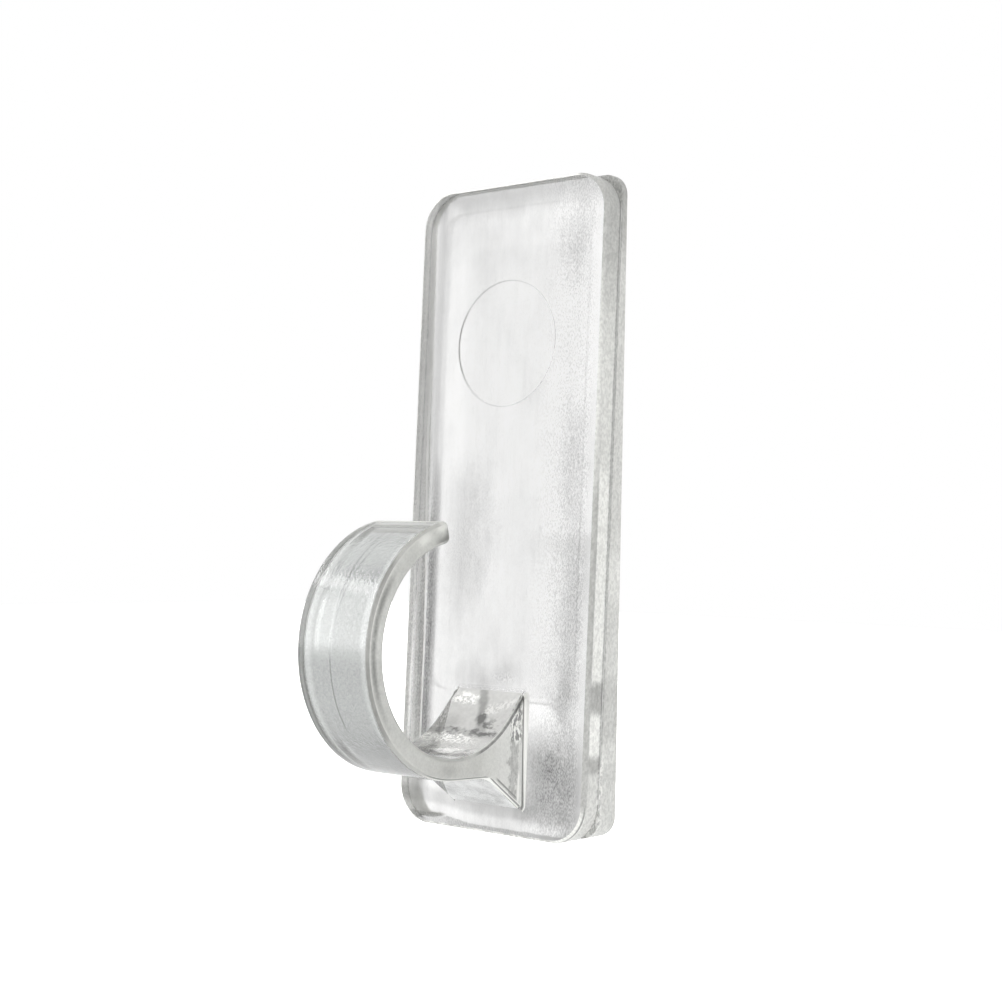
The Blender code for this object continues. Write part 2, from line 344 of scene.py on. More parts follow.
def paintLeftEdgeLightAndShade(m, tone, x, z, zd, slow, quick, ripple):
    # the tone with its painted shade and streaky grain, and how much of the two painted light lines shows
    streak = m.noise((1, 1, 0.05), 2.4, 5, 0, 0.7) - 0.5
    edge = leftEdgeLightAndShade["edge"] + slow[0] * m.step(z, *leftEdgeLightAndShade["wander"])
    # the zone of painted shade along the left edge
    zone = m.step(x - edge, leftEdgeLightAndShade["soft"], -leftEdgeLightAndShade["soft"]) * m.step(z, *leftEdgeLightAndShade["low"])
    above = m.step(zd, *leftEdgeLightAndShade["above"])
    zone = m.darken(zone, leftEdgeLightAndShade["fade"], above)
    high = leftEdgeLightAndShade["highDark"] * m.band(x, *leftEdgeLightAndShade["highBand"])
    high = high + leftEdgeLightAndShade["highSideDark"] * m.step(x, *leftEdgeLightAndShade["highSide"])
    tone = m.darken(tone, above, high)
    tone = m.darken(tone, above * leftEdgeLightAndShade["highRimDark"], m.step(x, *leftEdgeLightAndShade["highRim"]))
    dark = leftEdgeLightAndShade["tone"] + streak * leftEdgeLightAndShade["grain"] + ripple * leftEdgeLightAndShade["ripple"]
    dark = dark + leftEdgeLightAndShade["outsideLight"] * m.step(x, *leftEdgeLightAndShade["outside"])
    dark = dark - leftEdgeLightAndShade["borderDark"] * m.step(x, *leftEdgeLightAndShade["border"])
    tone = m.blend(zone, tone, tone * dark)
    leaning = x + leftEdgeLightAndShade["thinLean"] * m.step(z, -16, 9) + quick[0] * 0.12
    thin = m.line(leaning, leftEdgeLightAndShade["thin"], leftEdgeLightAndShade["thinHalf"])
    thin = thin * m.step(zd, *leftEdgeLightAndShade["thinTop"]) * m.step(z, -28, -24)
    wide = m.band(x + quick[1] * 0.2, *leftEdgeLightAndShade["wide"], 0.12) * m.step(z, -26, -23)
    wide = wide * m.step(zd, *leftEdgeLightAndShade["wideTop"]) * (1 + 2 * streak)
    return m.blend(thin, tone, 1.0), thin, wide


def paintEnds(m, tone, x, z, zd, quick, ripple):
    tone = m.darken(tone, ends["topDark"], m.step(zd * 0.4 + z * 0.6, *ends["top"]))
    foot = z - m.step(x, *ends["footLeft"]) * ends["footDrop"] + quick[1] * 0.3
    tone = m.darken(tone, ends["footDark"], m.band(foot, *ends["footBand"], 0.4))
    tone = tone * (1 + ends["footLight"] * m.line(foot, ends["footLine"], 0.5))
    shade = ends["edgeDark"] - ends["edgeLeftLight"] * m.step(x, *ends["edgeLeft"]) + 0.3 * ripple
    return m.darken(tone, shade, m.step(foot, *ends["footEdge"]))


def clearSkin():
    m = startFinish("clear_skin")
    x, y, z = m.axes(m.places())
    slow = m.drift(0.3, 2.4)
    quick = m.drift(1.6, 0.9)
    xd = x + slow[0] + quick[0]
    zd = z + slow[1] * 2 + quick[1]
    ripple = m.speckle((1, 1, 0.4), 10)
    coarse = m.noise((1, 1, 0.4), 1.3, 3, 0, 0.6) - 0.5
    cloud = m.noise((1, 1, 0.55), 0.27, 4, 0, 0.55) - 0.5
    brush = m.noise((1, 1, 0.05), 1.8, 3, 0, 0.6) - 0.5
    plain = skin["clear"] + coarse * skin["coarse"] + cloud * skin["cloud"] + brush * skin["brush"]
    # patches of painted shade and painted highlight over the face
    tone = m.shadeAndHighlightPatches(plain, xd, zd, skin["shadeAndHighlightPatches"])
    grainy = m.step(xd, *skin["grainyLeft"]) * m.step(x, *skin["grainyRight"])
    calm = m.step(zd, *skin["calmTop"]) * m.step(x, *skin["calmLeft"]) - m.blob(x, z, *skin["busy"]) * 4
    speckled = m.blob(x, z, *skin["speckled"])
    rippled = skin["grain"] + skin["ripple"] * grainy - skin["calmShare"] * calm
    tone = tone + ripple * (rippled + skin["speckledShare"] * speckled)
    # a painted shadow where the strip's root meets the plate
    tone = tone - skin["rootShadowDark"] * m.blob(x + quick[0], z, *skin["rootShadow"])
    tone, thin, wide = paintLeftEdgeLightAndShade(m, tone, x, z, zd, slow, quick, ripple)
    tone = paintEnds(m, tone, x, z, zd, quick, ripple)
    # painted shade along the line where the root's ramp ends, and in the ring round the thumb recess
    tone = tone - skin["rampDark"] * m.band(z, *skin["rampLine"]) * m.step(abs(x), *skin["rampHalf"])
    ring = ((x * x) + (z - hook["height"] / 2 / mm + hook["thumbDrop"] / mm) ** 2) ** 0.5
    ring = m.line(ring, hook["thumbRadius"] / mm, skin["ringHalf"])
    tone = m.clamp(tone - skin["ringDark"] * (1.2 + 2 * coarse) * ring, skin["darkest"])
    # the two light lines are painted light, drawn as a glow
    glow = leftEdgeLightAndShade["thinGlow"] * thin + leftEdgeLightAndShade["wideGlow"] * wide
    return endFinish(m, {"Base Color": m.tinted(tone * tone, clearTint),
                         "Roughness": skin["rough"] + 0.06 * coarse,
                         "Emission Color": m.grey(glow), "Emission Strength": 1.0,
                         "Normal": m.bump(m.noise((1, 1, 0.3), 4.2, 3, 0, 0.75), 0.12, 0.0002)})


def slideHeight(y, z):
    # millimetres behind the plane between the two mouldings
    return y - (baseBack - slide["topThickness"]) / mm + (top / mm - z) * tan(lean)


# The long side faces of both mouldings, which look milky, with painted light and shade: lighter low down,
# darker towards the top, with dark bands. Pairs are where a soft border starts and ends, and bands are a
# height, half a width and how dark they are.
flank = {"low": 0.87, "high": 0.74, "highEdge": (2.0, 4.5), "top": 0.43, "topEdge": (14, 31),
         "tail": 0.74, "tailEdge": (-24, -26), "bands": ((-19.1, 1.55, 0.55), (-25.7, 0.8, 0.42)),
         "roundEdge": (-1.8, -2.05), "roundLow": 0.46, "roundHigh": (-2, 10), "footEdge": (-29.5, -31),
         "footLight": 0.86, "footLine": 0.6, "foot": 0.6, "rest": 0.95, "topRim": 0.9, "leftRim": 0.56,
         "sideEdge": (9.5, 8), "grain": 0.2, "speckle": 0.28, "seam": 0.5, "glint": 0.6, "darkest": 0.08,
         "rough": 0.35, "through": 0.30}

# The same kind of painted light and shade on the base plate's sides, darker towards the top.
baseFlank = {"low": 0.62, "top": 0.42, "topEdge": (23, 29), "light": 0.10, "lightBand": (-9.5, -5.0, 1.0),
             "dark": 0.18, "darkEdge": (-16.5, -18), "ledge": 0.12, "ledgeBand": (-26.4, -23.6, 0.8),
             "foot": 0.08, "footEdge": (-26.5, -28), "sideEdge": (9, 7.5), "seamEdge": (0.12, 0.06),
             "seamLow": 0.95, "seamHigh": 0.75, "seamSpan": (-10, 10)}


def flankFinish(m, tone, height, z):
    grain = m.noise((1, 0.6, 0.3), 2.6, 3, 0, 0.6) - 0.5
    speckle = m.speckle((1, 0.8, 0.6), 5)
    # a painted shade line along the seam between the mouldings, and painted glints along it low down
    seam = m.line(height, -0.05, 0.24) * flank["seam"]
    tone = tone * (1 - seam) + grain * flank["grain"] + speckle * flank["speckle"] * tone
    glint = m.step(m.noise((1, 1, 0.6), 3, 2, 0, 0.6), 0.48, 0.56) * m.line(height + grain, 0.1, 0.4)
    tone = m.blend(flank["glint"] * glint * m.step(z, *flank["tailEdge"]), tone, 1.0)
    tone = m.clamp(tone, flank["darkest"])
    return endFinish(m, {"Base Color": m.tinted(tone, edgeTint), "Roughness": flank["rough"] + 0.1 * grain,
                         "Transmission Weight": flank["through"], "Normal": m.bump(grain, 0.2, 0.0002)})


def hookEdge():
    m = startFinish("hook_edge")
    x, y, z = m.axes(m.places())
    wander = m.drift(1.2, 0.5)
    height = slideHeight(y, z)
    zw = z + wander[0] * 2
    tone = m.blend(m.step(zw, *flank["highEdge"]), flank["low"], flank["high"])
    tone = m.blend(m.step(zw, *flank["topEdge"]), tone, flank["top"])
    tone = m.blend(m.step(zw, *flank["tailEdge"]), tone, tone * flank["tail"])
    for place, half, dark in flank["bands"]:
        tone = m.darken(tone, dark, m.band(z + wander[1] * 2, place - half, place + half, 0.5))
    # painted shade on the rounding towards the front, with a painted light band and a dark line at the foot
    rounding = m.blend(m.step(z, *flank["roundHigh"]), flank["roundLow"], tone)
    footRound = flank["footLight"] - flank["footLine"] * m.line(height, -2.2, 0.13)
    rounding = m.blend(m.step(z, *flank["footEdge"]), rounding, footRound)
    tone = m.blend(m.step(height + wander[0] * 0.2, *flank["roundEdge"]), tone, rounding)
    # the faces below, above and on the left, with painted shade below and on the left
    foot = flank["foot"] + 0.4 * m.speckle((0.6, 1, 1), 2.2)
    others = m.blend(m.step(z, -32.5, -33.2), flank["rest"], foot)
    others = m.blend(m.step(z, 33.0, 33.5), others, flank["topRim"])
    leftRim = m.step(height, -2.0, -2.2) * m.step(x, -11.4, -11.9)
    others = m.blend(leftRim, others, flank["leftRim"])
    tone = m.blend(m.step(x, *flank["sideEdge"]), tone, others)
    return flankFinish(m, tone, height, z)


def baseEdge():
    m = startFinish("base_edge")
    x, y, z = m.axes(m.places())
    wander = m.drift(1.2, 0.5)
    zw = z + wander[0] * 2
    tone = m.blend(m.step(zw, *baseFlank["topEdge"]), baseFlank["low"], baseFlank["top"])
    tone = tone + baseFlank["light"] * m.band(zw, *baseFlank["lightBand"])
    tone = m.darken(tone, baseFlank["dark"], m.step(zw, *baseFlank["darkEdge"]))
    tone = tone + baseFlank["ledge"] * m.band(zw, *baseFlank["ledgeBand"])
    tone = tone + baseFlank["foot"] * m.step(zw, *baseFlank["footEdge"])
    tone = m.blend(m.step(x, *baseFlank["sideEdge"]), tone, flank["rest"])
    height = slideHeight(y, z)
    seam = m.blend(m.step(z, *baseFlank["seamSpan"]), baseFlank["seamLow"], baseFlank["seamHigh"])
    tone = m.blend(m.step(height, *baseFlank["seamEdge"]), tone, seam)
    return flankFinish(m, tone, height, z)


def frosted(name, clear, shown):
    # hardly seen, but for a line of painted shade along the seam.
    # Shown is how much of the tongue and the notch is drawn.
    m = startFinish(name)
    x, y, z = m.axes(m.places())
    grain = m.noise((1, 1, 1), 3.0, 3)
    height = slideHeight(y, z)
    tone = clear - frost["grain"] * grain - frost["rim"] * m.step(x, *frost["rimEdge"])
    # painted shade on the tongue's sides, darker along the rail
    rail = frost["rail"] * m.step(abs(x), *frost["railEdge"]) * m.band(z, *frost["railSpan"])
    tone = tone - shown * (frost["tongue"] + rail) * m.band(height, *frost["tongueSide"])
    notch = m.step(height, 0.1, 0.15) * m.step(y, baseBack / mm - 0.1, baseBack / mm - 0.15)
    tone = tone - shown * frost["notch"] * notch
    return endFinish(m, {"Base Color": m.grey(tone), "Roughness": frost["rough"] + 0.1 * grain,
                         "IOR": frost["ior"]})


# The strip's inner and outer faces, with painted light and shade by angle: a painted reflection of the window
# on the front, lighter edges and a lighter underside. Stripes are a place across, a half width, a lean, the
# angles where they start and end, the softness of the ends and the change of tone; the light ones at the
# front are painted reflections of the window, and the last is a painted highlight along the left edge.
strip = {"clear": 0.67, "rough": 0.10, "flow": 0.03, "grain": 0.05, "speckle": 0.07, "darkest": 0.2,
         "outside": (11.4, 11.8), "front": (155, 184, 6), "frontLight": 0.08,
         "shades": ((148, 132, 0.12), (120, 115, -0.04), (205, 235, -0.06)),
         "edges": (3.7, 4.3), "edgeLight": 0.14, "leftEdge": (-3.6, -4.0), "leftLight": 0.06,
         "under": (262, 275), "underLight": 0.14, "underDark": 0.18,
         "stripes": ((-0.1, 0.09, 0, 184, 217, 3, -0.24), (0.1, 0.16, 0.004, 119, 168, 5, -0.13),
                     (1.1, 0.14, 0.02, 118, 182, 4, -0.11), (-2.0, 0.35, 0, 158, 181, 4, 0.20),
                     (-0.9, 1.0, 0, 160, 182, 5, 0.10), (-0.1, 0.22, 0, 158, 180, 3, 0.14),
                     (3.9, 0.25, 0, 158, 180, 3, 0.10), (-4.1, 0.12, 0, 192, 250, 8, 0.3))}

# Its side faces, with painted light and shade. Spots of painted highlight and painted shade are a radius, an
# angle, half sizes and a change of tone. Other places are a radius, a distance in front of the plate's face
# (shade, mottle, seam) or one from the outline.
side = {"clear": 0.70, "grain": 0.14, "speckle": 0.08, "rough": 0.35, "through": 0.45, "darkest": 0.05,
        "lightAndShadeSpots": ((11.9, 118, 0.8, 7, 0.34), (10.9, 106, 0.8, 9, -0.42), (12.2, 105, 0.7, 7, 0.40),
                  (11.5, 102, 1.2, 4, -0.30), (11.6, 266, 1.0, 9, -0.16)),
        "core": (11.6, 12.15, 0.28), "coreTurn": (145, 215, 10), "coreDark": 0.44,
        "inside": (10.8, 11.6, 0.3), "insideTurn": (125, 215, 10), "insideDark": 0.08,
        "rim": (12.3, 0.1), "rimTurn": (120, 250, 5), "rimLight": 0.06,
        "shade": (1.05, 2.3, 0.2), "shadeHeight": (-30.0, -24.1, 0.4), "shadeDark": 0.34,
        "mottle": (0.55, 2.3, 0.25), "mottleHeight": (-24.1, -20.3, 0.4), "mottleTone": 0.18,
        "seam": (0.78, 0.14), "seamHeight": (-30.0, -27.2, 0.4),
        "outline": (0.58, 0.10), "outlineTone": 0.2}

# Its round edges and its tip, with painted light and shade: darker bands by angle, a darker far side, a
# painted highlight on the tip with painted shade inside it, a painted light band with a dark line under the
# strip, and a dark line on the ramp.
rounds = {"clear": 0.62, "far": 0.50, "grain": 0.2, "darkest": 0.05, "front": (138, 186, 6),
          "frontDark": 0.24, "lower": (186, 222, 4), "lowerDark": 0.26, "farEdge": (128, 145),
          "tip": (107, 105), "tipLight": 0.25, "tipInside": (11.9, 12.2), "tipDark": 0.45,
          "under": (246, 258), "underLine": (0.2, 0.07), "underDark": 0.8,
          "ramp": (284, 292), "rampTone": 0.75, "rampLine": (0.2, 0.13), "rampDark": 0.6}


def stripPlaces(m):
    # x, then an angle and a radius round the strip's middle, and how far back and up from there, in
    # millimetres and degrees. Straight back is 0, the top 90 and the front 180.
    x, y, z = m.axes(m.places())
    centre = slidePlace @ Vector((0, -slide["face"] - hook["standoff"], hook["rise"] - hook["height"] / 2))
    y = y - centre.y / mm
    z = z - centre.z / mm
    back = y * cos(lean) - z * sin(lean)
    up = y * sin(lean) + z * cos(lean)
    turn = m.node("ShaderNodeMath", {"operation": "ARCTAN2"}, {0: up, 1: back}) * (180 / pi)
    turn = turn + m.step(turn, -0.5, -0.6) * 360
    return x, turn, (back * back + up * up) ** 0.5, back, up


def outlineGaps(m, turn, radius, back, up):
    # distances of a point of the side from the inner and the outer outline
    leave = 270 + hook["rootAngle"]
    ramp = back * cos(radians(leave)) + up * sin(radians(leave))
    inner = m.blend(m.step(turn, leave - 0.5, leave + 0.5), radius, ramp)
    outerRadius = (hook["inner"] + hook["stripThickness"]) / mm
    slope = radians(hook["flareAngle"])
    level = up + outerRadius
    flare = level * cos(slope) + (back - (hook["standoff"] - hook["flareReach"]) / mm) * sin(slope)
    under = m.node("ShaderNodeMath", {"operation": "MAXIMUM"}, {0: level, 1: flare})
    return inner - hook["inner"] / mm, m.blend(m.step(back, -0.1, 0.1), outerRadius - radius, under)


def platePlaces(back, up):
    # distance in front of the plate's face, and height
    return hook["standoff"] / mm - back, up + (hook["rise"] - hook["height"] / 2) / mm


def endSide(m, tone, grain, more):
    return endFinish(m, {"Base Color": m.tinted(tone, edgeTint), "Roughness": side["rough"] + 0.1 * grain,
                         "Transmission Weight": side["through"], **more})


def hookSkin():
    m = startFinish("hook_skin")
    x, turn, radius = stripPlaces(m)[:3]
    flow = m.noise((1.2, 0.10, 0.10), 1.0, 2) - 0.5
    grain = m.noise((1, 1, 1), 3.0, 3) - 0.5
    speckle = m.speckle((1, 1, 1), 5)
    wave = m.drift(0.25, 0.7)
    tone = strip["clear"] + strip["flow"] * flow + strip["grain"] * grain + strip["speckle"] * speckle
    painted = m.stripes(tone, x + wave[0] * 0.4, turn, strip["stripes"])
    tone = m.blend(m.step(radius, *strip["outside"]), tone, painted)
    # a painted reflection of the window on the front, and painted light and shade by angle
    tone = tone + strip["frontLight"] * m.band(turn, *strip["front"])
    for start, end, change in strip["shades"]:
        tone = tone + change * m.step(turn, start, end)
    tone = tone + strip["edgeLight"] * m.step(abs(x), *strip["edges"])
    tone = tone + strip["leftLight"] * m.step(x, *strip["leftEdge"])
    patches = m.step(m.noise((1, 1, 1), 0.6, 3, 0, 0.6), 0.36, 0.64)
    tone = tone + (strip["underLight"] - strip["underDark"] * patches) * m.step(turn, *strip["under"])
    tone = m.clamp(tone, strip["darkest"])
    return endFinish(m, {"Base Color": m.tinted(tone * tone, stripTint),
                         "Roughness": strip["rough"] + 0.04 * grain,
                         "Normal": m.bump(0.3 * flow + 0.7 * grain, 0.09, 0.0002)})


# The root's ramp, with painted shade and painted glints. Its footprint's border is a painted shade line
# and a painted highlight line, placed by their distance in front of the plate's face. Dots and patches of
# painted shade are places in x and z with half sizes.
root = {"clear": 0.59, "rough": 0.05, "grain": 0.24, "darkest": 0.15,
        "border": (0.5, 0.09), "borderTone": 0.12, "white": (0.26, 0.12), "borderLean": 0.033,
        "borderTop": -19, "shown": (-18.9, -19.4), "high": (-20.8, -18.9), "highLight": 0.06,
        "ripple": 0.26, "rippleLean": 0.75, "dot": ((1.1, -21.7), (0.8, 0.7)), "dotDark": 0.5,
        "right": ((2.8, -22.4), (2.4, 1.2)), "rightDark": 0.36, "left": ((-2.6, -22.4), (2.6, 1.2)),
        "leftDark": 0.14, "darkLine": (-23.1, 0.3),
        "low": (-24.0, -24.6), "lowDark": 0.25, "lowLine": (-24.55, 0.16), "lowLight": 0.25}


def footprintLines(m, tone, front, height):
    # a painted shade line and a painted highlight line along the footprint's border
    line = front - (height - root["borderTop"]) * root["borderLean"]
    shown = m.step(height, *root["shown"])
    tone = m.blend(m.line(line, *root["border"]) * shown, tone, root["borderTone"])
    return m.blend(m.line(line, *root["white"]) * shown, tone, 1.0)


def hookSide():
    m = startFinish("hook_side")
    turn, radius, back, up = stripPlaces(m)[1:]
    outer = outlineGaps(m, turn, radius, back, up)[1]
    front, height = platePlaces(back, up)
    grain = m.noise((1, 1, 1), 2.0, 3) - 0.5
    speckle = m.speckle((1, 1, 1), 4.5)
    smear = m.step(m.noise((1, 0.5, 0.5), 0.9, 3, 0, 0.6), 0.38, 0.6)
    blot = m.noise((1, 1.6, 0.8), 1.9, 3, 0, 0.6)
    plain = side["clear"] + side["grain"] * grain + side["speckle"] * speckle
    # spots of painted highlight and painted shade
    tone = m.shadeAndHighlightPatches(plain, radius, turn, side["lightAndShadeSpots"])
    # a band of painted shade through the middle of the side
    core = m.band(radius, *side["core"]) * m.band(turn, *side["coreTurn"])
    tone = tone - side["coreDark"] * core * (0.5 + 0.5 * smear)
    inside = m.band(radius, *side["inside"]) * m.band(turn, *side["insideTurn"])
    tone = tone - side["insideDark"] * smear * inside
    tone = tone + side["rimLight"] * m.line(radius, *side["rim"]) * m.band(turn, *side["rimTurn"])
    shade = m.band(front + 2.0 * grain, *side["shade"]) * m.band(height, *side["shadeHeight"])
    tone = tone - side["shadeDark"] * shade * (0.6 + 0.4 * m.step(blot, 0.4, 0.6))
    mottle = m.band(front, *side["mottle"]) * m.band(height, *side["mottleHeight"])
    tone = m.blend(mottle * m.step(blot, 0.49, 0.53), tone, side["mottleTone"])
    tone = m.blend(mottle * m.step(blot, 0.46, 0.42), tone, 1.0)
    tone = m.blend(m.line(front, *side["seam"]) * m.band(height, *side["seamHeight"]), tone, 1.0)
    outline = m.line(outer, *side["outline"]) * m.step(front, 4.4, 3.8) * m.step(front, 0.9, 1.2)
    tone = m.blend(outline, tone, side["outlineTone"])
    tone = m.clamp(footprintLines(m, tone, front, height), side["darkest"])
    return endSide(m, tone, grain, {"Normal": m.bump(grain, 0.15, 0.0002)})


def hookRound():
    m = startFinish("hook_round")
    x, turn, radius, back, up = stripPlaces(m)
    inner, outer = outlineGaps(m, turn, radius, back, up)
    grain = m.noise((1, 1, 1), 2.4, 3) - 0.5
    tone = rounds["clear"] + rounds["grain"] * grain - rounds["frontDark"] * m.band(turn, *rounds["front"])
    tone = tone - rounds["lowerDark"] * m.band(turn, *rounds["lower"])
    far = m.step(x, 0, -1) * m.step(turn, *rounds["farEdge"])
    tone = m.blend(far, tone, rounds["far"] + rounds["grain"] * grain)
    # a painted highlight on the tip, with painted shade inside it
    tip = m.step(turn, *rounds["tip"])
    tipInside = 1 - m.step(radius + 0.8 * grain, *rounds["tipInside"])
    tone = tone + rounds["tipLight"] * tip - rounds["tipDark"] * tip * tipInside * m.step(x, 3, 4.6)
    under = m.step(turn, *rounds["under"]) * m.step(outer, 1.0, 0.8) * m.step(x, 0, 1)
    tone = m.blend(under, tone, 1.0 - rounds["underDark"] * m.line(outer, *rounds["underLine"]))
    ramp = m.step(turn, *rounds["ramp"]) * m.step(inner, 1.0, 0.8)
    rampTone = rounds["rampTone"] - rounds["rampDark"] * m.line(inner, *rounds["rampLine"]) + 0.4 * grain
    tone = m.blend(ramp, tone, rampTone)
    return endSide(m, m.clamp(tone, rounds["darkest"]), grain, {})


def rootSeat():
    m = startFinish("root_seat")
    back, up = stripPlaces(m)[3:]
    front, height = platePlaces(back, up)
    grain = m.noise((1, 1, 1), 3, 3) - 0.5
    return endSide(m, footprintLines(m, 0.8 + 0.3 * grain, front, height), grain, {})


def rootSkin():
    # the ramp where the strip runs into the plate, with its ripples, painted shade and painted glints
    m = startFinish("root_skin")
    x, y, z = m.axes(m.places())
    shift = m.drift(0.9, 0.8)
    xr = x + shift[0]
    zr = z + shift[1]
    grain = m.noise((0.8, 1, 1), 2.2, 3, 0, 0.6) - 0.5
    blot = m.step(m.noise((0.8, 1, 1), 1.3, 3, 0, 0.6), 0.46, 0.58)
    paintedGlint = m.step(m.noise((1, 1, 0.8), 3.2, 2, 0, 0.6), 0.46, 0.54)
    tone = root["clear"] + root["grain"] * grain + root["highLight"] * m.step(z, *root["high"])
    ripple = m.line(xr - (-19.2 - z) * root["rippleLean"], -0.6, 0.6) * m.band(z, -22.8, -18.0, 0.6)
    tone = tone - root["ripple"] * ripple
    tone = tone - root["dotDark"] * m.blob(xr, zr, *root["dot"])
    tone = tone - root["rightDark"] * blot * m.blob(x, z, *root["right"])
    tone = tone - root["leftDark"] * m.blob(x, z, *root["left"])
    tone = tone - (0.14 + 0.2 * blot) * m.line(z + grain * 0.8, *root["darkLine"])
    tone = tone - root["lowDark"] * blot * m.step(z, *root["low"])
    left = m.band(zr, -20.5, -19.5, 0.25) * m.band(x, -3.9, -0.8, 0.4)
    right = m.line(zr - (xr - 0.8) * 0.36, -21.2, 0.5) * m.band(x, 0.9, 4.2, 0.3)
    under = m.band(zr, -24.0, -23.4, 0.2) * m.step(x, 4.2, 0)
    # painted glints on the ramp
    tone = m.blend(paintedGlint * (left + right * 0.45 + under), tone, 1.0)
    tone = tone + root["lowLight"] * m.line(zr, *root["lowLine"]) * m.band(x, -1, 3, 0.6)
    tone = m.clamp(tone, root["darkest"])
    return endFinish(m, {"Base Color": m.tinted(tone * tone, rootTint),
                         "Roughness": root["rough"] + 0.04 * grain,
                         "Normal": m.bump(grain * (0.3 + (left + under) * 1.5), 0.8, 0.0001)})


def sheetFinish(name, tone, rough, ior):
    m = startFinish(name)
    grain = m.noise((1, 1, 1), 2.0, 2)
    return endFinish(m, {"Base Color": m.grey(tone + 0.02 * grain), "Roughness": rough + 0.1 * grain,
                         "IOR": ior})


# Modelling helpers
def toObject(name, bm):
    mesh = bpy.data.meshes.new(name)
    bm.to_mesh(mesh)
    bm.free()
    made = bpy.data.objects.new(name, mesh)
    bpy.context.scene.collection.objects.link(made)
    return made


def combine(bm, operation, other):
    first = toObject("first", bm)
    second = toObject("second", other)
    cut = first.modifiers.new("cut", "BOOLEAN")
    cut.operation = operation
    cut.object = second
    finished = first.evaluated_get(bpy.context.evaluated_depsgraph_get())
    result = bmesh.new()
    result.from_mesh(finished.to_mesh())
    for used in (first, second):
        bpy.data.objects.remove(used, do_unlink=True)
    return result


def panel(width, low, high, corner, back, front, segments=20):
    # rounded rectangle in x and z, pulled from back to front along y
    bm = bmesh.new()
    bmesh.ops.create_grid(bm, x_segments=1, y_segments=1, size=0.5)
    bmesh.ops.scale(bm, vec=(width, high - low, 1), verts=bm.verts)
    bmesh.ops.rotate(bm, cent=(0, 0, 0), matrix=Matrix.Rotation(radians(90), 3, "X"), verts=bm.verts)
    bmesh.ops.translate(bm, vec=(0, back, (low + high) / 2), verts=bm.verts)
    bmesh.ops.bevel(bm, geom=bm.verts[:], offset=corner, segments=segments, profile=0.5,
                    affect="VERTICES", material=-1)
    pull(bm, bm.faces[:], (0, front - back, 0))
    return bm


def pull(bm, faces, by):
    grown = bmesh.ops.extrude_face_region(bm, geom=faces)
    moved = [item for item in grown["geom"] if isinstance(item, bmesh.types.BMVert)]
    bmesh.ops.translate(bm, vec=by, verts=moved)
    bmesh.ops.recalc_face_normals(bm, faces=bm.faces[:])


def edgesAt(bm, axis, place):
    return [e for e in bm.edges if all(abs(v.co[axis] - place) < tiny for v in e.verts)]


def roundOff(bm, edges, offset, segments):
    bmesh.ops.bevel(bm, geom=edges, offset=offset, segments=segments, profile=0.5,
                    affect="EDGES", material=-1, clamp_overlap=False)


def swing(bm, tip, centre, turn, step):
    # carries a vertex round a centre in y and z and leaves an arc of edges behind it
    count = max(2, round(abs(turn) / step))
    made = bmesh.ops.spin(bm, geom=[tip], cent=(0, centre[0], centre[1]), axis=(1, 0, 0), angle=radians(turn),
                          steps=count)
    return next(item for item in made["geom_last"] if isinstance(item, bmesh.types.BMVert))


def reach(bm, tip, to):
    # carries a vertex straight to a point in y and z
    end = bmesh.ops.extrude_vert_indiv(bm, verts=[tip])["verts"][0]
    end.co = (0, to[0], to[1])
    return end


def nearRim(spot, low, high, corner, within):
    # is a point of a plate within a given distance of its rounded outline?
    across = abs(spot.x) - hook["width"] / 2 + corner
    along = abs(spot.z - (low + high) / 2) - (high - low) / 2 + corner
    out = (across * across + along * along) ** 0.5 if across > 0 and along > 0 else max(across, along)
    return out > corner - within


def nearCorner(spot, beyond):
    # is a point further than this from the middle of the hook body's nearest corner arc, on its outer side?
    across = abs(spot.x) - hook["width"] / 2 + hook["corner"]
    along = abs(spot.z) - hook["height"] / 2 + hook["corner"]
    return across > 0 and along > 0 and (across * across + along * along) ** 0.5 > beyond


def finishPiece(bm, name, body, node, place, sharp=35):
    bmesh.ops.transform(bm, matrix=place, verts=bm.verts)
    bmesh.ops.recalc_face_normals(bm, faces=bm.faces[:])
    piece = toObject(name, bm)
    piece.data.shade_smooth()
    piece.data.set_sharp_from_angle(angle=radians(sharp))
    even = piece.modifiers.new("even shading", "WEIGHTED_NORMAL")
    even.mode = "FACE_AREA"
    even.weight = 100
    even.keep_sharp = True
    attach(piece, body)
    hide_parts(node)
    return piece


# The sliding plane leans with the hook body. Both mouldings are drawn in its frame.
slideAxis = Vector(frame["joints"][0]["axis"])
lean = atan2(slideAxis.y, slideAxis.z)
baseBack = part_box("base_plate")[1].y
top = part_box("base_plate")[1].z
slide = {"topThickness": 1.02 * mm, "clearance": 0.08 * mm, "face": 2.56 * mm, "tongueHeight": 0.95 * mm,
         "undercut": 0.6 * mm, "railFoot": 2.3 * mm, "tongueCorner": 2.0 * mm, "topMargin": 2.4 * mm,
         "beyond": 2 * mm}
slidePlace = (Matrix.Translation((0, baseBack - slide["topThickness"] - top * tan(lean), 0))
              @ Matrix.Rotation(-lean, 4, "X"))


def dovetail(half, height, low, high, corner, sink):
    # half is half the width at the sliding plane, and sink is how far the root goes behind that plane
    slope = slide["undercut"] / slide["tongueHeight"]
    deep = half - slope * sink
    bm = panel(2 * deep, low, high, corner, sink, -height)
    front = [v for v in bm.verts if v.co.y < 0]
    bmesh.ops.scale(bm, vec=((deep + slope * (height + sink)) / deep, 1, 1), verts=front)
    return bm


